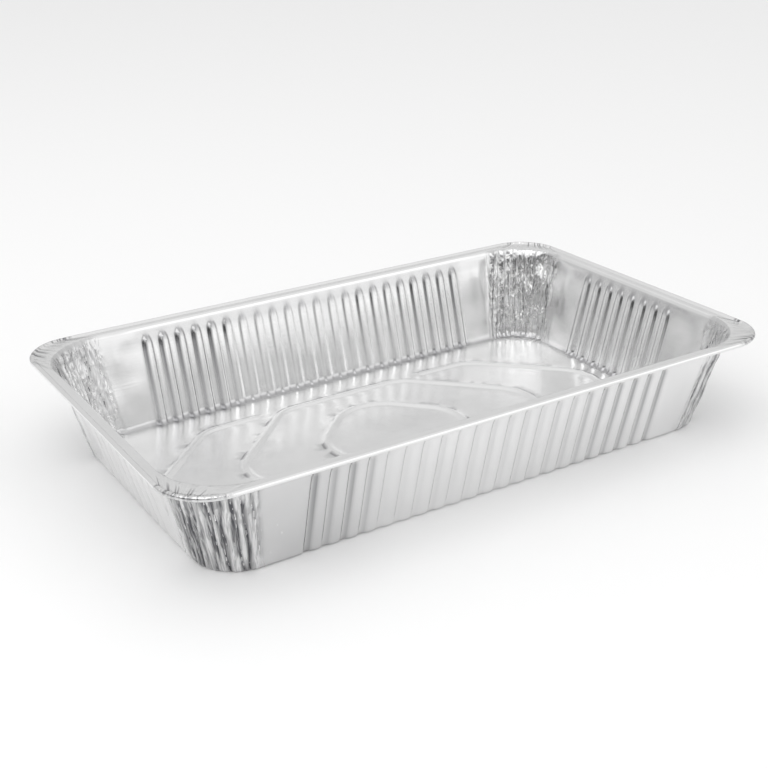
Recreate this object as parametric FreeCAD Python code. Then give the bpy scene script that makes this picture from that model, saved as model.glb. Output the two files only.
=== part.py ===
import FreeCAD, Part
import math
import os

# Overall sizes of the tray, over its rolled bead
rim_length = 527.0
rim_width = 325.0
height = 84.0
rim_corner_radius = 40.0

# Foil gauge
foil = 0.2

# Rolled bead round the rim: the foil turns up, over, down and back under
bead_diameter = 4.2
bead_rise = 1.4
bead_first_flat = 120.0
bead_flat_turn = 30.0
bead_flats = 9
bead_strip = 1.5
bead_crimp = 0.35
bead_facets = 10

# Flat flange between the bead and the shoulder
flange_width = 10.0

# Shoulder, wall and foot, from the flange down to the base
shoulder_run = 2.5
shoulder_drop = 3.2
wall_flare = 21.2
wall_corner_radius = 50.0
base_corner_radius = 36.0
foot_run = 2.2
foot_rise = 3.0

# Flutes pressed inward, upright on the sloping walls
flute_pitch = 15.0
flute_width = 10.0
flute_flank = 1.8
flute_depth = 1.8
flute_foot_depth = 3.0
flute_top = 73.0
flute_end = 4.0
flute_end_width = 5.0
long_wall_flutes = 22
short_wall_flutes = 8

# Pleats that gather the foil round each corner
pleats = 13
pleat_depth = 1.7
pleat_foot_depth = 0.6
pleat_top_depth = 0.8
pleat_unevenness = 0.3
pleat_wander = 2.4
pleat_full_height = 70.0

# Ridges embossed in the base: an oval, a hexagon round it and a chevron at each end
ridge_width = 11.0
ridge_crest = 3.0
ridge_height = 1.2
oval_half_length = 79.0
oval_half_width = 81.0
oval_end_radius = 42.0
field_half_width = 93.0
hexagon_half_length = 154.0
chevron_half_length = 228.0
chevron_half_gap = 82.0
field_end_radius = 40.0
field_corner_radius = 34.0

# How far a cutting form runs past the face that it cuts
clear = 1.0

# How far out of plane four points may lie and still make one facet, as a share of its size
flatness = 1e-6

# Heights and distances that follow from the sizes above
bead_radius = bead_diameter / 2
bead_centre_height = height - bead_radius
flange_top = height - bead_rise
flange_under = flange_top - foil
wall_top = flange_under - shoulder_drop
base_inset = flange_width + shoulder_run + wall_flare
base_half_length = rim_length / 2 - base_inset
base_half_width = rim_width / 2 - base_inset
strip_inset = bead_diameter + bead_strip


def wall_out(z):
    """Distance of the wall outside the base edge at a height."""
    return wall_flare * z / wall_top


def wall_radius(z):
    """Corner radius of the wall at a height."""
    return base_corner_radius + (wall_corner_radius - base_corner_radius) * z / wall_top


def section_profile():
    """Outside of the section from the base to the flange: out, height, corner radius, pleat depth."""
    end_radius = wall_corner_radius + shoulder_run
    return [
        (-foot_run, 0.0, base_corner_radius - foot_run, pleat_foot_depth),
        (wall_out(foot_rise), foot_rise, wall_radius(foot_rise), pleat_depth),
        (wall_out(pleat_full_height), pleat_full_height, wall_radius(pleat_full_height), pleat_depth),
        (wall_flare, wall_top, wall_corner_radius, pleat_top_depth),
        (wall_flare + shoulder_run, flange_under, end_radius, 0.0),
    ]


def mitre(before, after, inset):
    """Shift of a section point that keeps both its faces one inset away, inward and up."""
    half = (before + after) / 2
    reach = inset / math.cos((after - before) / 2)
    return reach * math.sin(half), reach * math.cos(half)


def inset_profile(inset):
    """The section profile moved in from the outer face of the foil."""
    points = section_profile()
    slopes = [0.0]
    for a, b in zip(points, points[1:]):
        slopes.append(math.atan2(b[1] - a[1], b[0] - a[0]))
    slopes.append(0.0)
    moved = []
    for point, before, after in zip(points, slopes, slopes[1:]):
        inward, up = mitre(before, after, inset)
        moved.append((point[0] - inward, point[1] + up, point[2] - inward, point[3]))
    return moved


def corner_points(centre_x, centre_y, radius, start, steps, fold, z):
    """Points round one corner, every second one folded inward by about the fold depth."""
    points = []
    for k in range(steps + 1):
        angle = math.radians(start + 90.0 * k / steps)
        uneven = 1 - pleat_unevenness + pleat_unevenness * math.sin(pleat_wander * k + start)
        reach = radius - fold * uneven * (k % 2)
        points.append(FreeCAD.Vector(centre_x + reach * math.cos(angle),
                                     centre_y + reach * math.sin(angle), z))
    return points


def corner_loop(half_x, half_y, radius, steps, fold, z):
    """Corner points of a rounded rectangle, all the way round."""
    loop = []
    for sx, sy, start in ((1, 1, 0), (-1, 1, 90), (-1, -1, 180), (1, -1, 270)):
        loop += corner_points(sx * (half_x - radius), sy * (half_y - radius), radius, start, steps, fold, z)
    return loop


def flat_face(points):
    """Flat face with straight edges."""
    return Part.Face(Part.makePolygon(points + points[:1]))


def band(low, high):
    """Facets between two outlines with the same number of points, a folded one as two triangles."""
    faces = []
    for k in range(len(low)):
        a, b, c, d = low[k - 1], low[k], high[k], high[k - 1]
        normal = (b - a).cross(d - a)
        if abs((c - a).dot(normal)) < flatness * normal.Length:
            faces.append(flat_face([a, b, c, d]))
        else:
            faces.append(flat_face([a, b, c]))
            faces.append(flat_face([a, c, d]))
    return faces


def faceted(loops, ends):
    """Solid of flat facets through a row of outlines."""
    faces = []
    for low, high in zip(loops, loops[1:]):
        faces += band(low, high)
    for loop in ends:
        faces.append(flat_face(loop))
    shell = Part.makeShell(faces)
    shell.sewShape()
    return Part.makeSolid(shell)


def level_loop(out, z, radius, fold):
    """Outline of the tray at one height."""
    return corner_loop(base_half_length + out, base_half_width + out, radius, 2 * pleats, fold, z)


def body_form(inset, above):
    """Space inside the outer or inner face of the foil, up to the flange and a given height above it."""
    levels = [level_loop(*point) for point in inset_profile(inset)]
    if above > 0:
        out, z, radius, fold = inset_profile(inset)[-1]
        levels.append(level_loop(out, z + above, radius, fold))
    return faceted(levels, [levels[0], levels[-1]])


def flute_outline(half, out, z, width, depth):
    """Trapezoid of one flute at one height, open to the outside of its wall."""
    lean = flute_flank / flute_depth
    wide = width / 2 + clear * lean
    narrow = width / 2 - depth * lean
    return [
        FreeCAD.Vector(-wide, half + out + clear, z),
        FreeCAD.Vector(wide, half + out + clear, z),
        FreeCAD.Vector(narrow, half + out - depth, z),
        FreeCAD.Vector(-narrow, half + out - depth, z),
    ]


def flute_form(half, inset):
    """One flute at the middle of the wall that faces +Y, from its lobed foot to its closed top."""
    foot, wall = inset_profile(inset)[:2]
    thick = inset / math.cos(math.atan(wall_flare / wall_top))
    width = flute_width + 2 * inset * math.tan(math.atan(flute_depth / flute_flank) / 2)
    beyond = 1 + clear / 2 / flute_depth
    end = flute_top + flute_end * beyond
    end_width = width + (flute_end_width - flute_width) * beyond
    levels = [
        flute_outline(half, foot[0], foot[1] - clear, width, flute_foot_depth),
        flute_outline(half, foot[0], foot[1], width, flute_foot_depth),
        flute_outline(half, wall[0], wall[1], width, flute_depth),
        flute_outline(half, wall_out(flute_top) - thick, flute_top, width, flute_depth),
        flute_outline(half, wall_out(end) - thick, end, end_width, -clear / 2),
    ]
    return faceted(levels, [levels[0], levels[-1]])


def flute_row(half, count, inset, turn):
    """A row of flutes on one wall, turned to the side that it stands on."""
    row = []
    first = flute_form(half, inset)
    for k in range(count):
        flute = first.copy()
        flute.translate(FreeCAD.Vector((k - (count - 1) / 2) * flute_pitch, 0, 0))
        flute.rotate(FreeCAD.Vector(0, 0, 0), FreeCAD.Vector(0, 0, 1), turn)
        row.append(flute)
    return row


def flutes(inset):
    """Flutes of all four walls."""
    rows = []
    for turn in (0, 180):
        rows += flute_row(base_half_width, long_wall_flutes, inset, turn)
    for turn in (90, 270):
        rows += flute_row(base_half_length, short_wall_flutes, inset, turn)
    return rows


def rounded_wire(corners, offset, z):
    """Closed outline of lines and arcs through rounded corners, moved outward by an offset."""
    count = len(corners)
    lines = []
    for k in range(count):
        (ax, ay, _), (bx, by, _) = corners[k], corners[(k + 1) % count]
        run = math.hypot(bx - ax, by - ay)
        lines.append(((bx - ax) / run, (by - ay) / run))
    starts = []
    ends = []
    arcs = []
    for k in range(count):
        x, y, radius = corners[k]
        (px, py), (nx, ny) = lines[k - 1], lines[k]
        turn = math.atan2(px * ny - py * nx, px * nx + py * ny)
        bisector = math.hypot(px - nx, py - ny)
        ex, ey = (px - nx) / bisector, (py - ny) / bisector
        x += ex * offset / math.cos(turn / 2)
        y += ey * offset / math.cos(turn / 2)
        cut = (radius + offset) * math.tan(turn / 2)
        sag = (radius + offset) * (1 / math.cos(turn / 2) - 1)
        starts.append(FreeCAD.Vector(x - px * cut, y - py * cut, z))
        ends.append(FreeCAD.Vector(x + nx * cut, y + ny * cut, z))
        arcs.append(Part.Arc(starts[k], FreeCAD.Vector(x - ex * sag, y - ey * sag, z), ends[k]).toShape())
    edges = []
    for k in range(count):
        edges.append(arcs[k])
        edges.append(Part.makeLine(ends[k], starts[(k + 1) % count]))
    return Part.Wire(edges)


def ridge_ring(corners, inset):
    """Closed embossed ridge with sloping sides, raised from the face of the foil at an inset."""
    grow = inset * math.tan(math.atan(ridge_height / ((ridge_width - ridge_crest) / 2)) / 2)
    wide = ridge_width / 2 + grow
    narrow = ridge_crest / 2 + grow
    slope = (wide - narrow) / ridge_height
    outer = [
        rounded_wire(corners, wide, inset - clear),
        rounded_wire(corners, wide, inset),
        rounded_wire(corners, narrow, inset + ridge_height),
    ]
    inner = [
        rounded_wire(corners, -wide, inset - 2 * clear),
        rounded_wire(corners, -wide, inset),
        rounded_wire(corners, -narrow + slope * clear, inset + ridge_height + clear),
    ]
    return Part.makeLoft(outer, True, True).cut(Part.makeLoft(inner, True, True))


def oval_corners():
    """Corners of the middle oval, a diamond with generous rounding."""
    return [
        (oval_half_length, 0, oval_end_radius),
        (0, oval_half_width, oval_end_radius),
        (-oval_half_length, 0, oval_end_radius),
        (0, -oval_half_width, oval_end_radius),
    ]


def field_corners(half_length):
    """Corners of a long hexagon that fills the base to the border of the embossed field."""
    shoulder = half_length - field_half_width
    return [
        (half_length, 0, field_end_radius),
        (shoulder, field_half_width, field_corner_radius),
        (-shoulder, field_half_width, field_corner_radius),
        (-half_length, 0, field_end_radius),
        (-shoulder, -field_half_width, field_corner_radius),
        (shoulder, -field_half_width, field_corner_radius),
    ]


def ridges(inset):
    """The oval, the hexagon and the two chevrons of the base."""
    oval = ridge_ring(oval_corners(), inset)
    hexagon = ridge_ring(field_corners(hexagon_half_length), inset)
    ends = ridge_ring(field_corners(chevron_half_length), inset)
    gap = Part.makeBox(2 * (chevron_half_gap - inset), rim_width, height,
                       FreeCAD.Vector(-chevron_half_gap + inset, -rim_width / 2, -height / 2))
    return [oval, hexagon, ends.cut(gap)]


def pressed_form(inset, above):
    """One face of the foil: the tapered form with its flutes and base ridges pressed in."""
    return body_form(inset, above).cut(flutes(inset) + ridges(inset))


def flange_plate():
    """Flat flange as far as the strip that the bead grows from."""
    loop = corner_loop(rim_length / 2 - strip_inset, rim_width / 2 - strip_inset,
                       rim_corner_radius - strip_inset, bead_facets, 0.0, flange_under)
    return flat_face(loop).extrude(FreeCAD.Vector(0, 0, foil))


def bead_section(centre, outward, radius):
    """Section of the bead and its strip at one station round the rim, the curl as short flats."""
    def place(out, up):
        return FreeCAD.Vector(centre[0] + outward[0] * out, centre[1] + outward[1] * out, up)

    def curl(reach, start_height):
        angles = [math.pi - math.asin((start_height - bead_centre_height) / reach)]
        for k in range(bead_flats + 1):
            angles.append(math.radians(bead_first_flat - k * bead_flat_turn))
        return [place(reach * math.cos(a), bead_centre_height + reach * math.sin(a)) for a in angles]

    strip = [place(bead_radius - strip_inset, flange_under), place(bead_radius - strip_inset, flange_top)]
    return strip + curl(radius, flange_top) + curl(radius - foil, flange_under)[::-1]


def bead():
    """The rolled bead, crimped at each corner where the foil gathers."""
    sections = []
    half_x = rim_length / 2 - bead_radius
    half_y = rim_width / 2 - bead_radius
    radius = rim_corner_radius - bead_radius
    for sx, sy, start in ((1, 1, 0), (-1, 1, 90), (-1, -1, 180), (1, -1, 270)):
        for k in range(bead_facets + 1):
            angle = math.radians(start + 90.0 * k / bead_facets)
            outward = (math.cos(angle), math.sin(angle))
            centre = (sx * (half_x - radius) + radius * outward[0], sy * (half_y - radius) + radius * outward[1])
            sections.append(bead_section(centre, outward, bead_radius - bead_crimp * (k % 2)))
    return faceted(sections + sections[:1], [])


def tray():
    """The whole tray, one sheet of foil."""
    outside = pressed_form(0.0, 0.0).fuse(flange_plate())
    return outside.cut(pressed_form(foil, clear)).fuse(bead())


os.makedirs("parts", exist_ok=True)
foil_tray = tray()
foil_tray.exportStep("parts/foil_tray.step")
box = foil_tray.BoundBox
print("solids", len(foil_tray.Solids), "valid", foil_tray.isValid(), "volume", round(foil_tray.Volume, 1))
print("faces", len(foil_tray.Faces), "size", round(box.XLength, 2), round(box.YLength, 2), round(box.ZLength, 2))
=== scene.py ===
import math
import random
from collections import namedtuple

import bpy
import numpy as np
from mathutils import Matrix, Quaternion, Vector, kdtree, noise
from mathutils.geometry import delaunay_2d_cdt


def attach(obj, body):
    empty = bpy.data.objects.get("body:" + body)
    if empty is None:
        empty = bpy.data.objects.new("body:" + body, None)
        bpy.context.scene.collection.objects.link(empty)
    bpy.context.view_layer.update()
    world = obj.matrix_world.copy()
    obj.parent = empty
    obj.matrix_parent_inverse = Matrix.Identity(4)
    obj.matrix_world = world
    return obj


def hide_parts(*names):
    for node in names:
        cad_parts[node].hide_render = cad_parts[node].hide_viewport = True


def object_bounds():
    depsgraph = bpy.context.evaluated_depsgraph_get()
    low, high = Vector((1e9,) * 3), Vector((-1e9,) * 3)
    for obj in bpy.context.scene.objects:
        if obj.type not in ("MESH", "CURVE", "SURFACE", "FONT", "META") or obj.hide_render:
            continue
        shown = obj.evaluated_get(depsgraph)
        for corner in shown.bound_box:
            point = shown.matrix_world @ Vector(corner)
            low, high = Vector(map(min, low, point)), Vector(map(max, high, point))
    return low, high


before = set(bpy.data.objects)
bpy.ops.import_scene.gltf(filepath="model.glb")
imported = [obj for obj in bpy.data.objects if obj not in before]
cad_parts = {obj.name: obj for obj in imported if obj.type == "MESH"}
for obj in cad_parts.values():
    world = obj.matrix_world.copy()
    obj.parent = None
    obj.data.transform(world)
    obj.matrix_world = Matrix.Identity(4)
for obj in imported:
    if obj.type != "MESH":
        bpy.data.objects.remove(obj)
cad_low, cad_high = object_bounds()

# The geometry below is worked out in millimetres
MM = 0.001

# Overall sizes, from the frame
rim_half_length = cad_high.x / MM
rim_half_width = cad_high.y / MM
height = cad_high.z / MM

# Foil gauge
foil = 0.2

# Sides of the tray, anticlockwise; each corner has the number of the side before it
right_side, back_side, left_side, front_side = range(4)

# Rolled bead and flange
bead_radius = 2.1
bead_rise = 1.4
bead_end_turn = -150
bead_rings = 12
rim_corner_radius = 40
flange_width = 10
flange_rings = 3

# Shoulder, with the share of its run and of its rise at each ring
shoulder_run = 2.5
shoulder_drop = 3.2
shoulder_steps = ((0.0, 0.0), (0.2, 0.32), (0.45, 0.64), (0.75, 0.9), (1.1, 1.0))

# Wall, with the height of each ring
wall_flare = 21.2
wall_corner_radius = 50
base_corner_radius = 36
wall_heights = (3.4, 5.5, 10, 16, 24, 32, 40, 48, 56, 62, 68, 71.5, 73.2, 74.6, 75.8, 77.0, 78.2)

# Foot: distance inside the base's edge, height above the foil, strength of flutes and of pleats
floor_edge = 7.0
foot_steps = ((floor_edge, 0, 0, 0), (4.6, 0, 0.45, 0.15), (3.4, 0, 0.75, 0.3),
              (2.2, 0.1, 0.9, 0.4), (1.1, 0.9, 1, 0.6), (0.2, 2.0, 1, 0.8))

# Flutes pressed inward
flute_pitch = 15
flute_half_top = 2.5
flute_flank = 2.8
flute_steep_flank = 2.1
flute_depth = 1.8
flute_foot_depth = 1.5
flute_foot_fade = 3.5
flute_top = 66.5
flute_top_stretch = 2.2
flute_most_shift = 0.25
flute_least_share = 0.93
flute_most_share = 1.07
flute_slots = 40
long_wall_flutes = 22
short_wall_flutes = 8

# How strongly the flutes of each side are pressed: places, from -1 at the left or the front end
# to 1 at the other end, and the strength there
flute_depths = (((-1, 1), (1.08, 1.0)),
                ((-1, -0.55, -0.42, 0.1, 0.35, 1), (1.35, 1.3, 0.6, 0.64, 0.95, 1.1)),
                ((-1, 1), (1.08, 1.0)),
                ((-1, -0.72, -0.6, 0.2, 0.6, 1), (1.12, 1.08, 0.84, 0.86, 1.12, 1.35)))

# Stations: across each flute, over the plain part beside a corner, and round a corner
flute_steps = (-7.5, -5.3, -4.3, -3.2, -2.1, 0, 2.1, 3.2, 4.3, 5.3)
plain_shares = (0, 0.14, 0.28, 0.41, 0.53, 0.63, 0.71, 0.78, 0.84, 0.89, 0.94, 0.97)
corner_steps = 66

# Degrees that the plain part beside a corner counts for, and an angle that is in no corner
plain_part_turn = 45
no_corner = 999

# Pleats gathered at the corners, with the ranges that each is drawn from
pleats = 20
pleat_depth = 2.3
pleat_fan = -7
pleat_first = -9
pleat_spread = 108
pleat_scatter = 0.45
pleat_widths = (2.6, 5.6)
pleat_least_share = 0.45
pleat_lows = (-0.2, -0.2, 0.1, 0.25)
pleat_highs = (1.1, 1.0, 0.9, 0.75)
pleat_lean_scatter = 4
pleat_steepness = 2.2

# Crumples in the corners: the share that the inner face has, and that the rim has
inner_gather = 0.36
rim_gather = 0.35

# Loose creases in the plain foil: side, place along it, height, reach up and down, depth, lean
crease_half_width = 3.4
loose_creases = ((back_side, -188, 60, 16, 1.3, 0), (back_side, -178, 52, 12, 0.9, 0),
                 (right_side, 78, 50, 18, 0.9, 0.1), (front_side, -174, 50, 20, 0.9, -0.12),
                 (front_side, -184, 42, 26, 1.2, -0.26), (front_side, -192, 50, 24, 1.1, -0.3),
                 (left_side, 80, 45, 20, 0.8, 0.2), (left_side, -82, 45, 22, 0.8, -0.2),
                 (back_side, 186, 62, 12, 0.7, 0), (right_side, -80, 40, 18, 0.7, -0.1),
                 (front_side, 188, 46, 20, 0.7, 0.2))

# Painted shade in the foil's colour, as a share of the darkest: flutes, their tops, folds, foot
# and rim
flank_shade_foot = 0.6
flank_shade_rise = 60
short_wall_shade = 0.45
weak_flute = 0.8
outer_flank_shade = 0.9
top_shade = 0.45
top_shade_height = 7
foot_shade = 0.68
plain_foot_shade = 0.75
above_flutes_shade = 0.3
inner_valley_shade = 0.06
outer_valley_shade = 1.3
shoulder_shade = 0.28
tick_shade = 0.8
ridge_shade = 0.95

# Painted shade makes the outside a little darker from this place on the front side towards its
# left end
front_painted_shade = 0.26
front_painted_shade_from = -50
front_painted_shade_length = 120

# Ridges embossed in the base; the oval is given by its corners, each with its radius
ridge_half_top = 0.8
ridge_half_width = 5.2
ridge_height = 1.45
field_half_width = 93
oval = ((79, 0, 42), (0, 81, 42), (-79, 0, 42), (0, -81, 42))
hexagon_half_length = 154
chevron_half_length = 228
chevron_half_gap = 82
chevron_fade = 10
field_end_radius = 40
field_corner_radius = 34

# Spacing of the floor's mesh along and across the ridges, between them and at the border, and
# the finer step of the lines that distances are measured to
ridge_step = 3.6
ridge_offsets = (-5.5, -4.2, -2.6, -1.0, 1.0, 2.6, 4.2, 5.5)
floor_step = 5.2
floor_margin = 3
path_step = 0.8

# Sizes that follow from those above
bead_centre_height = height - bead_radius
flange_top = height - bead_rise
wall_top = flange_top - foil - shoulder_drop
base_inset = flange_width + shoulder_run + wall_flare
base_half_length = rim_half_length - base_inset
base_half_width = rim_half_width - base_inset

# A ring of the sheet: strengths of flutes, pleats and flange creases are shares from 0 to 1
Ring = namedtuple("Ring", "out z radius flute pleat crease")

chance = random.Random(11)


def smooth(t):
    """Smooth step from 0 to 1."""
    t = np.clip(t, 0, 1)
    return t * t * (3 - 2 * t)


def waves(points, scale, seed):
    """Smooth noise in about -1 to 1 at each point, with features of about the scale."""
    shift = Vector((seed * 17.3, seed * 5.1, seed * 9.7))
    return np.array([noise.noise(Vector(p) / scale + shift) for p in points])


def with_height(plan, z):
    """Plan points with a height."""
    return np.column_stack([plan, np.full(len(plan), z)])


# Stations round the tray

def wall_stations(flutes):
    """Places along one side: a distance in the fluted part, a share of the plain part beyond."""
    reach = flutes * flute_pitch / 2
    places = [(-reach, -1)] + [(-reach, -share) for share in reversed(plain_shares[1:])]
    for k in range(flutes):
        centre = (k - (flutes - 1) / 2) * flute_pitch
        places += [(centre + step, 0) for step in flute_steps]
    return places + [(reach, share) for share in plain_shares + (1,)]


def all_stations():
    """Side, fixed distance, share of the plain part and turn round the corner of each station."""
    rows = []
    for where in range(4):
        flutes = long_wall_flutes if where % 2 else short_wall_flutes
        rows += [(where, fixed, share, 0) for fixed, share in wall_stations(flutes)]
        rows += [(where, 0, 0, 90 * k / corner_steps) for k in range(1, corner_steps)]
    return np.array(rows)


stations = all_stations()
side = stations[:, 0].astype(int)
fixed = stations[:, 1]
share = stations[:, 2]
turn = np.radians(stations[:, 3])
on_corner = turn > 0
on_long_side = side % 2 == 1
facing = np.radians(90) * side + turn
normal = np.stack([np.cos(facing), np.sin(facing)], 1)
outward = np.stack([np.cos(np.radians(90) * side), np.sin(np.radians(90) * side)], 1)
along = np.stack([-outward[:, 1], outward[:, 0]], 1)

# The flute that each station belongs to, and how far across it the station lies
zone = np.where(on_long_side, long_wall_flutes, short_wall_flutes) * flute_pitch / 2
in_flutes = (share == 0) & ~on_corner
flute_count = (zone * 2 / flute_pitch).astype(int)
flute_index = np.clip(((fixed + zone) // flute_pitch).astype(int), 0, flute_count - 1)
flute_key = side * flute_slots + flute_index
flute_across = fixed - (flute_index - (flute_count - 1) / 2) * flute_pitch
steep_side = np.where((side == back_side) | (side == left_side), 1, -1)

# The nearest corner, and the angle round it, which runs on over the plain part on either side
near_corner = np.where(share < 0, (side - 1) % 4, side)
before_corner = np.where(share > 0, (share - 1) * plain_part_turn, no_corner)
gather_angle = np.where(on_corner, np.degrees(turn), before_corner)
gather_angle = np.where(share < 0, 90 + (1 + share) * plain_part_turn, gather_angle)


def along_straight(out, radius):
    """Distance of each station along its side from the side's middle, on a given ring."""
    half_along = np.where(on_long_side, base_half_length, base_half_width) + out
    return fixed + share * (half_along - radius - zone)


def ring_points(out, radius):
    """Plan of the ring at a distance outside the base edge."""
    half_x, half_y = base_half_length + out, base_half_width + out
    half_out = np.where(on_long_side, half_y, half_x)
    half_along = np.where(on_long_side, half_x, half_y)
    reach = along_straight(out, radius)
    straight = outward * half_out[:, None] + along * reach[:, None]
    centre = outward * (half_out - radius)[:, None] + along * (half_along - radius)[:, None]
    return np.where(on_corner[:, None], centre + radius * normal, straight)


def corner_fade(reach, blend):
    """1 in the corners and a reach in degrees beyond them, fading to 0 over the blend."""
    return smooth((gather_angle + reach) / blend) * smooth((90 + reach - gather_angle) / blend)


# Relief of the walls

def flute_strengths():
    """How strongly each flute is pressed: the middles of the long walls are shallower."""
    rows = []
    for where in range(4):
        flutes = long_wall_flutes if where % 2 else short_wall_flutes
        way = -1 if where in (back_side, left_side) else 1
        for index in range(flute_slots):
            place = (index - (flutes - 1) / 2) / (flutes / 2) * way
            strength = float(np.interp(place, *flute_depths[where]))
            rows.append(strength * chance.uniform(flute_least_share, flute_most_share))
    return np.array(rows)


def flute_relief(z):
    """Depth of the flutes at a height, with rounded tops and each flute a little different."""
    across = flute_across + flute_shift[flute_key]
    past_top = max(0.0, z - flute_top) / flute_top_stretch
    flank = np.where(across * steep_side > 0, flute_steep_flank, flute_flank)
    edge = (np.hypot(across, past_top) - flute_half_top) / flank
    foot = 1 - smooth(z / flute_foot_fade)
    depth = flute_depth + (flute_foot_depth - flute_depth) * foot
    return np.where(in_flutes, (1 - smooth(edge)) * depth * flute_strength[flute_key], 0)


def make_pleats():
    """Corner, angle, width, depth, lean, steep side and both ends of every pleat."""
    rows = []
    for corner in range(4):
        for k in range(pleats):
            place = k + 0.5 + chance.uniform(-pleat_scatter, pleat_scatter)
            centre = pleat_spread * place / pleats + pleat_first
            width = chance.uniform(*pleat_widths)
            depth = pleat_depth * chance.uniform(pleat_least_share, 1)
            low = chance.choice(pleat_lows)
            high = chance.choice(pleat_highs)
            scatter = chance.uniform(-pleat_lean_scatter, pleat_lean_scatter)
            lean = pleat_fan * (centre - 45) / 45 + scatter
            steep = chance.choice((-1, 1))
            rows.append((corner, centre, width, depth, lean, steep, low, high))
    return rows


def pleat_relief(z):
    """Depth of the pleats at a height: uneven folds that lean a little, steep on one side."""
    up = z / wall_top
    total = np.zeros(len(stations))
    for k, (corner, centre, width, depth, lean, steep, low, high) in enumerate(pleat_list):
        wander = math.sin(5 * up + k) + 0.6 * math.sin(13 * up + 2 * k)
        across = (gather_angle - centre - lean * (up - 0.5) - wander) / width
        steepness = np.where(across * steep > 0, pleat_steepness, 1)
        fold = np.clip(1 - np.abs(across) * steepness, 0, 1)
        fade = smooth((up - low) / 0.12) * (1 - smooth((up - high) / 0.1))
        total += np.where(near_corner == corner, fold * depth * fade, 0)
    uneven_end = 13 + 5 * math.sin(6 * up + 0.8)
    return total * corner_fade(uneven_end, 18)


def wall_ring(z):
    """Inner face of the wall at a height."""
    share_up = z / wall_top
    radius = base_corner_radius + (wall_corner_radius - base_corner_radius) * share_up
    return Ring(wall_flare * share_up - foil, z, radius - foil, 1, 1, 0)


def along_wall(z):
    """Distance of each station along its side at a height of the wall."""
    ring = wall_ring(z)
    return along_straight(ring.out, ring.radius)


def crease_relief(z):
    """Depth of the few loose creases in the plain foil beside the corners."""
    total = np.zeros(len(stations))
    for where, at, middle, reach, depth, lean in loose_creases:
        across = (along_wall(z) - at - lean * (z - middle)) / crease_half_width
        up = (z - middle) / reach
        crease = np.exp(-across ** 2 - up ** 2) * depth
        total += np.where((side == where) & ~on_corner, crease, 0)
    return total


def dents(points, out):
    """Soft unevenness of the walls, in plan, stronger where no flute stiffens the foil."""
    small = waves(points, scale=13, seed=2) * (0.35 + 0.7 * corner_fade(4, 10))
    soft = waves(points, scale=34, seed=1) * 0.9 + small
    plain = np.where(in_flutes, 0.2, 1.0)
    return soft * plain * smooth((out + 4) / 6) * (1 - smooth((out - wall_flare + 1) / 2))


flute_shift = np.array([chance.uniform(-flute_most_shift, flute_most_shift)
                        for _ in range(4 * flute_slots)])
flute_strength = flute_strengths()
pleat_list = make_pleats()

# Fine crimps of the rim: where it is pinched together, and where it is tucked under
crimp_places = [(angle, corner * 40.0, 0) for angle, corner in zip(gather_angle, near_corner)]
crimp = waves(crimp_places, scale=2.1, seed=3) + waves(crimp_places, scale=6, seed=4)
crimp = crimp * corner_fade(8, 10)
# pinch and tuck place only painted shade, on the rim and the bead
pinch = smooth((crimp - 0.12) / 0.3)
tuck = smooth((crimp + 0.1) / 0.25)


# Painted shade in the folds, for the inner and the outer face

def flank_mark(z, middle, reach):
    """Painted shade in strongly pressed flutes, for its middle and reach across."""
    line = np.exp(-((flute_across * steep_side - middle) / reach) ** 2)
    rise = flank_shade_foot + (1 - flank_shade_foot) * smooth(z / flank_shade_rise)
    fade = rise * (1 - smooth((z - flute_top - 2) / 5))
    fade = fade * np.where(on_long_side, 1, short_wall_shade)
    pressed = np.clip((flute_strength[flute_key] - weak_flute) * 2.2, 0.05, 1)
    return np.where(in_flutes, line * fade * pressed, 0)


def top_mark(z):
    """Soft painted shade on the sloping top end of each flute."""
    away = (flute_across / 3) ** 2 + ((z - flute_top - top_shade_height) / 4) ** 2
    return np.where(in_flutes, top_shade * np.exp(-away), 0)


def front_painted_shade_mark(z):
    """Painted shade on the outside towards the front left corner."""
    painted_front_shade = front_painted_shade * smooth((front_painted_shade_from - along_wall(z)) / front_painted_shade_length)
    return np.where((side == front_side) & ~on_corner, painted_front_shade, 0)


def wall_shade(ring):
    """Painted shade of a ring of the foot or the wall."""
    z = ring.z
    valley = pleat_relief(z) / pleat_depth * ring.pleat * corner_fade(8, 16)
    foot = foot_shade * (1 - smooth((z - 1.5) / 5)) * (z > foil)
    foot = foot + above_flutes_shade * smooth((z - flute_top) / 3)
    foot = foot * np.where(in_flutes, 1, plain_foot_shade)
    inner_flank = flank_mark(z, middle=3.3, reach=1.6) * ring.flute
    outer_flank = flank_mark(z, middle=-1.4, reach=1.9) * ring.flute * outer_flank_shade
    inner = valley * inner_valley_shade + inner_flank + foot + top_mark(z)
    return inner, valley * outer_valley_shade + outer_flank + front_painted_shade_mark(z)


def rim_shade(ring, before_bead):
    """Painted shade of a ring of the shoulder or the flange, by its number of rings before the
    bead.
    """
    ticks = pinch * smooth(1 - (before_bead - 1) / 2.2)
    shoulder = shoulder_shade * corner_fade(4, 10) * (ring.z < flange_top - foil)
    return ticks * tick_shade + shoulder, ticks * 0.5


def bead_shade(step):
    """Painted shade of a ring of the bead, by its number from the bead's start."""
    inner_side = 1 - 0.8 * smooth((step - 2) / 4)
    outer_side = math.exp(-((step - 5.2) / 1.8) ** 2) * corner_fade(2, 16) * (0.4 + 0.6 * tuck)
    return np.maximum(pinch * inner_side, outer_side), pinch * 0.5


def ring_shades(rings):
    """Painted shade of each point of the rings, from 0 to 1, on the inner and the outer face."""
    first_curl = len(rings) - bead_rings - 1
    rows = []
    for k, ring in enumerate(rings):
        if k >= first_curl:
            rows.append(bead_shade(k - first_curl))
        elif ring.crease:
            rows.append(rim_shade(ring, first_curl - k))
        else:
            rows.append(wall_shade(ring))
    return np.clip(np.array(rows), 0, 1).transpose(0, 2, 1)


# Rings from the floor out to the free edge of the bead

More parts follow.
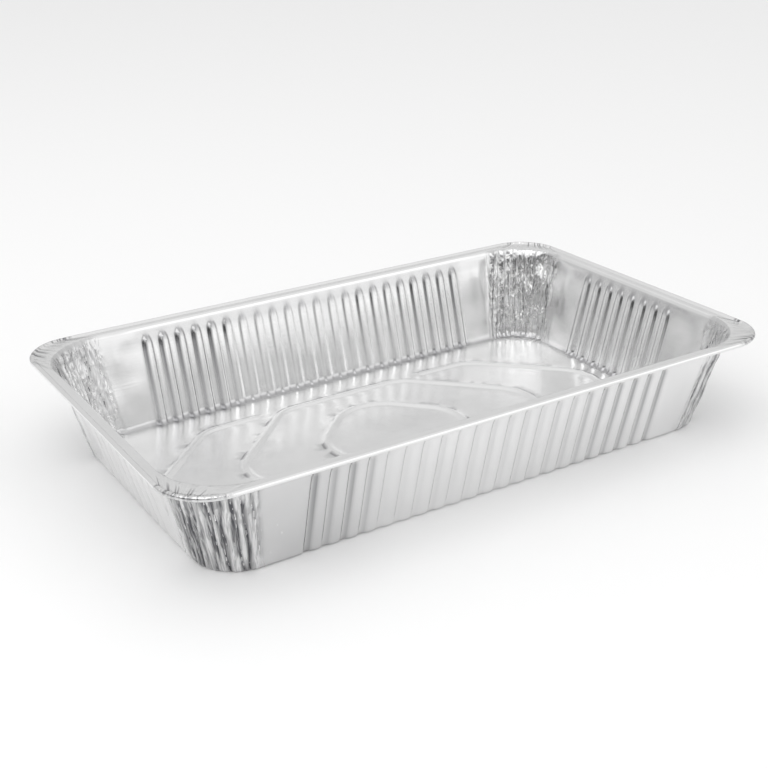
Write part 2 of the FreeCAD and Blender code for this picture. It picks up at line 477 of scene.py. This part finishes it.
def foot_rings():
    """Rounded foot, from the flat floor to the wall."""
    return [Ring(-inside, foil + rise, base_corner_radius - inside, flute, pleat, 0)
            for inside, rise, flute, pleat in foot_steps]


def shoulder_rings():
    """Soft shoulder between the wall and the flange."""
    rings = []
    for step, rise in shoulder_steps:
        out = wall_flare - foil + shoulder_run * step
        z = wall_top + (flange_top - wall_top) * rise
        radius = wall_corner_radius + shoulder_run * min(step, 1)
        rings.append(Ring(out, z, radius, 0, 0.6 - 0.5 * rise, rise * 0.5))
    return rings


def rim_radius(out):
    """Corner radius of the rings that run with the rim."""
    return rim_corner_radius - base_inset + out


def rim_rings():
    """Flange, then the bead: up, over, down and back under."""
    inner = wall_flare + shoulder_run * shoulder_steps[-1][0]
    inner_radius = wall_corner_radius + shoulder_run
    start_turn = 180 - math.degrees(math.asin((flange_top - bead_centre_height) / bead_radius))
    outer = base_inset - bead_radius + bead_radius * math.cos(math.radians(start_turn))
    rings = []
    for k in range(1, flange_rings + 1):
        t = k / (flange_rings + 1)
        radius = inner_radius + (rim_radius(outer) - inner_radius) * t
        rings.append(Ring(inner + (outer - inner) * t, flange_top, radius, 0, 0, 1))
    for k in range(bead_rings + 1):
        angle = math.radians(start_turn + (bead_end_turn - start_turn) * k / bead_rings)
        out = base_inset - bead_radius + bead_radius * math.cos(angle)
        z = bead_centre_height + bead_radius * math.sin(angle)
        rings.append(Ring(out, z, rim_radius(out), 0, 0, 0))
    return rings


def curl_points(plan, ring):
    """Crimps the bead towards its own middle at the corners, and lets it waver elsewhere."""
    waver = np.clip(waves(with_height(plan, 0), scale=9, seed=5), 0, 1)
    squeeze = 0.22 * np.clip(crimp, 0, 1) + 0.04 * waver
    inward = (ring.out - base_inset + bead_radius) * squeeze
    down = (ring.z - bead_centre_height) * squeeze
    return plan - normal * inward[:, None], ring.z - down


def sheet_points(plan, ring):
    """Presses flutes, pleats, creases and dents into a ring of the foot, wall or flange."""
    spots = with_height(plan, ring.z)
    inward = flute_relief(ring.z) * ring.flute + pleat_relief(ring.z) * ring.pleat
    inward += dents(spots, ring.out) + crease_relief(ring.z) * ring.flute
    sag = 0.5 * np.clip(crimp, 0, 1) + 0.12 * np.abs(waves(spots, scale=16, seed=4))
    return plan - normal * inward[:, None], ring.z - ring.crease * sag


def sheet_rings():
    """Top face of the foil: its rings, and the points of each."""
    rings = foot_rings() + [wall_ring(z) for z in wall_heights] + shoulder_rings() + rim_rings()
    first_curl = len(rings) - bead_rings - 1
    grid = []
    for k, ring in enumerate(rings):
        press = curl_points if k >= first_curl else sheet_points
        plan, level = press(ring_points(ring.out, ring.radius), ring)
        grid.append(np.column_stack([plan, level]))
    return rings, np.array(grid)


# Embossed floor

def rounded_path(corners, offset, step):
    """Points along an outline of lines and rounded corners, moved outward by an offset."""
    points = []
    count = len(corners)
    spots = [Vector(c[:2]) for c in corners]
    for k in range(count):
        before = (spots[k] - spots[k - 1]).normalized()
        after = (spots[(k + 1) % count] - spots[k]).normalized()
        bend = before.angle(after)
        apex = (before - after).normalized()
        radius = corners[k][2]
        centre = spots[k] - apex * radius / math.cos(bend / 2)
        start = math.atan2(-before.x, before.y)
        pieces = max(3, round((radius + offset) * bend / step))
        for j in range(pieces + 1):
            angle = start + bend * j / pieces
            points.append(centre + Vector((math.cos(angle), math.sin(angle))) * (radius + offset))
    return fill_line(points, step)


def fill_line(points, step):
    """Adds points along the long stretches of a closed line."""
    filled = []
    for a, b in zip(points, points[1:] + points[:1]):
        pieces = max(1, round((b - a).length / step))
        filled += [a.lerp(b, j / pieces) for j in range(pieces)]
    return filled


def field(half_length):
    """Corners of a long hexagon that fills the field to its border."""
    knee = half_length - field_half_width
    return ((half_length, 0, field_end_radius),
            (knee, field_half_width, field_corner_radius),
            (-knee, field_half_width, field_corner_radius),
            (-half_length, 0, field_end_radius),
            (-knee, -field_half_width, field_corner_radius),
            (knee, -field_half_width, field_corner_radius))


# Outline of each ridge, and half the width of its gap in the middle
ridge_lines = ((oval, 0), (field(hexagon_half_length), 0),
               (field(chevron_half_length), chevron_half_gap))


def point_tree(points):
    """Search tree of plan points."""
    tree = kdtree.KDTree(len(points))
    for k, point in enumerate(points):
        tree.insert((point.x, point.y, 0), k)
    tree.balance()
    return tree


def distances(corners, offset, spots):
    """Distance of each point of the floor from an outline."""
    tree = point_tree(rounded_path(corners, offset, path_step))
    return np.array([tree.find((x, y, 0))[2] for x, y in spots])


def ridge_relief(spots):
    """Height of the ridges at points of the floor, and a broken line of painted shade just
    outside them.
    """
    total = np.zeros(len(spots))
    shade = np.zeros(len(spots))
    patches = waves(with_height(spots, 0), scale=9, seed=8)
    broken = 0.12 + 0.88 * smooth((patches + 0.04) / 0.2)
    slope = ridge_half_width - ridge_half_top
    for corners, gap in ridge_lines:
        away = distances(corners, 0, spots)
        outside = distances(corners, 4, spots) < away
        rise = ridge_height * (1 - smooth((away - ridge_half_top) / slope))
        line = np.exp(-((away - 4) / 1.6) ** 2) * outside * broken
        if gap:
            ends = smooth((np.abs(spots[:, 0]) - gap + chevron_fade / 2) / chevron_fade)
            rise *= ends
            line *= ends
        total = np.maximum(total, rise)
        shade = np.maximum(shade, line)
    return total, shade * ridge_shade


def inside_floor(x, y, edge):
    """Whether a place lies inside the floor's edge by the margin."""
    half_x, half_y = edge[:, 0].max(), edge[:, 1].max()
    reach = base_corner_radius - floor_edge
    across = max(abs(x) - half_x + reach, 0)
    beyond = max(abs(y) - half_y + reach, 0)
    within_sides = abs(x) < half_x - floor_margin and abs(y) < half_y - floor_margin
    return within_sides and math.hypot(across, beyond) < reach - floor_margin


def floor_spots(edge):
    """Mesh points of the floor: lines that follow the ridges and a plain grid between them."""
    spots = []
    for corners, gap in ridge_lines:
        for offset in ridge_offsets:
            path = rounded_path(corners, offset, ridge_step)
            spots += [p for p in path if abs(p.x) > gap - chevron_fade]
    tree = point_tree(spots)
    columns = int(2 * edge[:, 0].max() / floor_step)
    rows = int(2 * edge[:, 1].max() / floor_step)
    for i in range(columns + 1):
        for j in range(rows + 1):
            x = (i - columns / 2) * floor_step
            y = (j - rows / 2 + 0.25 * (-1) ** i) * floor_step
            if inside_floor(x, y, edge) and tree.find((x, y, 0))[2] > floor_step * 0.7:
                spots.append(Vector((x, y)))
    return spots


def floor_mesh(edge):
    """Points inside the floor's edge, faces that count the edge first, and the points' shade."""
    spots = floor_spots(edge)
    count = len(edge)
    given = [Vector(p[:2]) for p in edge] + spots
    border = [(k, (k + 1) % count) for k in range(count)]
    _, _, faces, origins, _, _ = delaunay_2d_cdt(given, border, [], 1, 1e-4)
    number = [origin[0] for origin in origins]
    faces = [tuple(number[k] for k in face) for face in faces]
    plan = np.array([tuple(p) for p in spots])
    points = with_height(plan, 0)
    large = 0.22 * (1 + waves(points, scale=42, seed=6))
    soft = large + 0.1 * (1 + waves(points, scale=15, seed=7))
    from_side = np.abs(plan) - (base_half_length, base_half_width)
    soft = soft * smooth((-from_side.max(axis=1) - floor_edge) / 20)
    rise, shade = ridge_relief(plan)
    return np.column_stack([plan, foil + rise + soft]), faces, shade


# The sheet as a closed mesh

def skin():
    """The foil's top face: points, faces, its outer edge, and the marks that its look follows."""
    rings, grid = sheet_rings()
    count = grid.shape[1]
    floor_points, faces, floor_shade = floor_mesh(grid[0])
    points = np.concatenate([grid.reshape(-1, 3), floor_points])
    last = (len(rings) - 1) * count
    faces = [tuple(k if k < count else k + last for k in face) for face in faces]
    for start in range(0, last, count):
        for k in range(count):
            n = (k + 1) % count
            faces.append((start + k, start + count + k, start + count + n, start + n))
    edge = [last + k for k in range(count)]
    return points, faces, edge, sheet_marks(rings, len(points), floor_shade)


def sheet_marks(rings, count, floor_shade):
    """Gather, way round and height of each point, and its painted shade on the inner and outer
    face.
    """
    marks = np.zeros((count, 5))
    on_rings = marks[:len(rings) * len(stations)]
    crumpled = [rim_gather if ring.crease or not ring.pleat else 1 for ring in rings]
    on_rings[:, 0] = np.outer(crumpled, corner_fade(6, 14)).reshape(-1)
    way_round = np.radians(near_corner * 180 + np.clip(gather_angle, -45, 135))
    on_rings[:, 1] = np.tile(way_round * wall_corner_radius * MM, len(rings))
    on_rings[:, 2] = np.repeat([ring.z * MM for ring in rings], len(stations))
    on_rings[:, 3:] = ring_shades(rings).reshape(-1, 2)
    marks[len(on_rings):, 3] = floor_shade
    return marks


def point_normals(points, faces):
    """Smooth normals of a skin."""
    normals = np.zeros_like(points)
    for face in faces:
        a, b, c = points[face[0]], points[face[1]], points[face[2]]
        across = b - a if len(face) == 3 else c - a
        up = c - a if len(face) == 3 else points[face[3]] - b
        cross = (across[1] * up[2] - across[2] * up[1],
                 across[2] * up[0] - across[0] * up[2],
                 across[0] * up[1] - across[1] * up[0])
        for k in face:
            normals[k] += cross
    return normals / np.linalg.norm(normals, axis=1)[:, None]


def build_tray():
    """The foil as one closed sheet with two faces."""
    points, faces, edge, marks = skin()
    under = points - point_normals(points, faces) * foil
    under[:, 2] = np.maximum(under[:, 2], 0)
    count = len(points)
    both = np.concatenate([points, under]) * MM
    all_faces = faces + [tuple(k + count for k in reversed(face)) for face in faces]
    for a, b in zip(edge, edge[1:] + edge[:1]):
        all_faces.append((b, a, a + count, b + count))
    mesh = bpy.data.meshes.new("tray_foil")
    mesh.from_pydata(both.tolist(), [], all_faces)
    mesh.polygons.foreach_set("use_smooth", [True] * len(mesh.polygons))
    inner, outer = marks[:, :4] * (inner_gather, 1, 1, 1), marks[:, (0, 1, 2, 4)]
    both_marks = np.concatenate([inner, outer])
    # The fold attribute carries the painted shade, on the inner and the outer face
    for k, name in enumerate(("gather", "around", "up", "fold")):
        values = both_marks[:, k].copy()
        mesh.attributes.new(name, "FLOAT", "POINT").data.foreach_set("value", values)
    mesh.update()
    tray = bpy.data.objects.new("tray_foil", mesh)
    bpy.context.collection.objects.link(tray)
    return tray


# Node helpers

def add(tree, kind, inputs=None, **settings):
    """A node with its settings, and its inputs set or fed by sockets, by name or number."""
    node = tree.nodes.new(kind)
    for name, value in settings.items():
        setattr(node, name, value)
    for key, value in (inputs or {}).items():
        if isinstance(value, bpy.types.NodeSocket):
            tree.links.new(value, node.inputs[key])
        else:
            node.inputs[key].default_value = value
    return node


def remap(tree, value, before, after, soft=False):
    """A value carried from one range to another, in a straight line or softly."""
    inputs = {"Value": value, "From Min": before[0], "From Max": before[1],
              "To Min": after[0], "To Max": after[1]}
    kind = "SMOOTHSTEP" if soft else "LINEAR"
    return add(tree, "ShaderNodeMapRange", inputs, interpolation_type=kind).outputs["Result"]


def compute(tree, operation, *values):
    """The result of an operation on numbers or sockets."""
    inputs = dict(enumerate(values))
    return add(tree, "ShaderNodeMath", inputs, operation=operation).outputs["Value"]


def noise_at(tree, place, stretch, inputs):
    """Noise at a place that is stretched first."""
    mapped = add(tree, "ShaderNodeMapping", {"Vector": place, "Scale": stretch}).outputs["Vector"]
    inputs = {"Vector": mapped, "Scale": 1.0, **inputs}
    return add(tree, "ShaderNodeTexNoise", inputs).outputs["Fac"]


def bump(tree, heights, strength, distance, under=None):
    """A bump of a greatest height in metres, on top of another."""
    inputs = {"Height": heights, "Strength": strength, "Distance": distance}
    if under:
        inputs["Normal"] = under
    return add(tree, "ShaderNodeBump", inputs).outputs["Normal"]


# Materials

# Foil: brightness, roughness, and the colour of the painted shade in its folds
foil_tones = (0.82, 0.9)
foil_roughness = (0.17, 0.27)
gather_roughness = 0.12
painted_shade_colour = (0.12, 0.12, 0.13, 1)
painted_shade_darkness = 0.8
painted_streak_darkness = 0.42

# Parts of the noise's range that make roughness and painted streaks of shade
smudge_range = (0.3, 0.7)
streak_range = (0.42, 0.6)

# Its patterns, in features per metre: smudges, gathers, rolling lines, small crumples
smudge_scale = 26.0
gather_scale = (380, 48, 1)
rolling_scale = (14, 900, 900)
crumple_scale = (210, 210, 75)

# Their bumps in metres, and how strongly rolling lines and crumples show
rolling_bump = 0.0002
gather_bump = 0.0012
crumple_bump = 0.0019
rolling_strength = 0.12
crumple_gain = 3.4

# Numbers of a mix node's sockets for colours
mix_first, mix_second, mix_result = 6, 7, 2


def foil_colour(tree, smudges, gathers, marks):
    """Bright metal, darkened by painted shade in the streaks of the gathers and in the folds."""
    tone = remap(tree, smudges, (0, 1), foil_tones)
    # Painted shade in streaks, where the corners are crumpled
    painted_streaks = remap(tree, gathers, streak_range, (0, painted_streak_darkness))
    # The fold attribute holds painted shade
    painted_fold_shade = compute(tree, "MULTIPLY", marks["fold"], painted_shade_darkness)
    dim = compute(tree, "MULTIPLY_ADD", painted_streaks, marks["gather"], painted_fold_shade)
    inputs = {"Factor": dim, mix_first: tone, mix_second: painted_shade_colour}
    return add(tree, "ShaderNodeMix", inputs, data_type="RGBA").outputs[mix_result]


def foil_normal(tree, place, gathers, marks):
    """Rolling lines, the gathers, and small crumples, mostly on the inside of the corners."""
    rolling = noise_at(tree, place, rolling_scale, {"Detail": 3.0})
    lines = bump(tree, rolling, rolling_strength, rolling_bump)
    gather_strength = compute(tree, "SQRT", marks["gather"])
    gathered = bump(tree, gathers, gather_strength, gather_bump, under=lines)
    # Most where the mark is about half, and 0 where it is 1, as outside the corners' walls
    squared = compute(tree, "MULTIPLY", marks["gather"], marks["gather"])
    half_gathered = compute(tree, "SUBTRACT", marks["gather"], squared)
    crumple_strength = compute(tree, "MULTIPLY", half_gathered, crumple_gain)
    crumples = noise_at(tree, place, crumple_scale, {"Detail": 1.5, "Distortion": 0.8})
    return bump(tree, crumples, crumple_strength, crumple_bump, under=gathered)


def foil_material():
    """Bright rolled aluminium: fine lines, faint smudges, more crumpled at the corners, with
    painted shade in its folds.
    """
    material = bpy.data.materials.new("aluminium_foil")
    material.use_nodes = True
    tree = material.node_tree
    shader = tree.nodes["Principled BSDF"]
    shader.inputs["Metallic"].default_value = 1.0
    place = add(tree, "ShaderNodeTexCoord").outputs["Object"]
    # The fold attribute carries painted shade for the base colour
    marks = {name: add(tree, "ShaderNodeAttribute", attribute_name=name).outputs["Fac"]
             for name in ("gather", "around", "up", "fold")}
    spots = {"Vector": place, "Scale": smudge_scale, "Detail": 4.0, "Roughness": 0.6}
    smudges = add(tree, "ShaderNodeTexNoise", spots).outputs["Fac"]
    flow = add(tree, "ShaderNodeCombineXYZ", {"X": marks["around"], "Y": marks["up"]})
    gathers = noise_at(tree, flow.outputs["Vector"], gather_scale,
                       {"Detail": 3.0, "Distortion": 1.1})
    sheen = remap(tree, smudges, smudge_range, foil_roughness)
    matt = compute(tree, "MULTIPLY_ADD", marks["gather"], gather_roughness, sheen)
    tree.links.new(foil_colour(tree, smudges, gathers, marks), shader.inputs["Base Color"])
    tree.links.new(matt, shader.inputs["Roughness"])
    tree.links.new(foil_normal(tree, place, gathers, marks), shader.inputs["Normal"])
    return material


def floor_material():
    """Plain pale floor."""
    material = bpy.data.materials.new("pale_floor")
    material.use_nodes = True
    shader = material.node_tree.nodes["Principled BSDF"]
    shader.inputs["Base Color"].default_value = (0.97, 0.97, 0.97, 1)
    shader.inputs["Roughness"].default_value = 0.9
    return material


# Studio, in metres

floor_half = 8.0

camera_place = Vector((-0.51273, -0.81354, 0.46584))
camera_aim = Vector((0.04473, 0.09312, 0.0))
camera_roll = math.radians(1.07)
camera_lens = 59.55
camera_sensor = 36

key_place = (-1.45, -0.84, 2.0)
key_side = 2.8
key_power = 25

# Directions of the room's dark part and of its window, with the ranges over which each comes in
room_dark = Vector((-0.84, -0.545, 0))
dark_nearness = (0.7, 0.9)
dark_heights = (0.6, 0.35)
room_window = Vector((0.52, -0.81, 0.27))
window_nearness = (0.8, 0.95)

# Brightness of the room and of its dark part, how it climbs with height, and the window's
room_levels = (0.95, 0.03)
climb_heights = (0.5, 0.85)
climb_levels = (0.77, 0.95)
window_level = 0.55


def build_floor():
    """Large plain floor that the tray stands on."""
    mesh = bpy.data.meshes.new("floor")
    corners = [(-1, -1), (1, -1), (1, 1), (-1, 1)]
    places = [(x * floor_half, y * floor_half, 0) for x, y in corners]
    mesh.from_pydata(places, [], [(0, 1, 2, 3)])
    floor = bpy.data.objects.new("floor", mesh)
    bpy.context.collection.objects.link(floor)
    mesh.materials.append(floor_material())


def nearness(tree, place, direction):
    """How nearly a place of the room lies in a direction, up to 1."""
    inputs = {0: place, 1: direction}
    return add(tree, "ShaderNodeVectorMath", inputs, operation="DOT_PRODUCT").outputs["Value"]


def build_room():
    """Soft white surround with a dark part and a bright window, both low down."""
    world = bpy.data.worlds.new("studio")
    bpy.context.scene.world = world
    world.use_nodes = True
    tree = world.node_tree
    place = add(tree, "ShaderNodeTexCoord").outputs["Generated"]
    up = add(tree, "ShaderNodeSeparateXYZ", {"Vector": place}).outputs["Z"]
    dark_side = remap(tree, nearness(tree, place, room_dark), dark_nearness, (0, 1), soft=True)
    dark_low = remap(tree, up, dark_heights, (0, 1), soft=True)
    dark = compute(tree, "MULTIPLY", dark_side, dark_low)
    level = remap(tree, dark, (0, 1), room_levels)
    climb = remap(tree, up, climb_heights, climb_levels, soft=True)
    window = remap(tree, nearness(tree, place, room_window), window_nearness,
                   (0, window_level), soft=True)
    total = compute(tree, "MULTIPLY_ADD", level, climb, window)
    background = tree.nodes["Background"]
    background.inputs["Color"].default_value = (1, 1, 1, 1)
    tree.links.new(total, background.inputs["Strength"])


def turned_to(thing, place, aim):
    """Puts a light or the camera at a place, turned to face another."""
    thing.location = place
    thing.rotation_mode = "QUATERNION"
    thing.rotation_quaternion = (Vector(aim) - Vector(place)).to_track_quat("-Z", "Y")


def build_key_light():
    """A large soft light at the camera's upper left."""
    light = bpy.data.lights.new("key_light", "AREA")
    light.shape = "RECTANGLE"
    light.size = light.size_y = key_side
    light.energy = key_power
    lamp = bpy.data.objects.new("key_light", light)
    turned_to(lamp, key_place, (0, 0, 0))
    bpy.context.collection.objects.link(lamp)


def build_camera():
    """Camera at the photograph's viewing angle."""
    camera = bpy.data.objects.new("camera", bpy.data.cameras.new("camera"))
    bpy.context.collection.objects.link(camera)
    turned_to(camera, camera_place, camera_aim)
    camera.rotation_quaternion = camera.rotation_quaternion @ Quaternion((0, 0, 1), -camera_roll)
    camera.data.lens = camera_lens
    camera.data.sensor_width = camera_sensor
    bpy.context.scene.camera = camera


tray = build_tray()
tray.data.materials.append(foil_material())
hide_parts("foil_tray")
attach(tray, "root")

build_floor()
build_room()
build_key_light()
build_camera()
bpy.context.scene.view_settings.view_transform = "Standard"
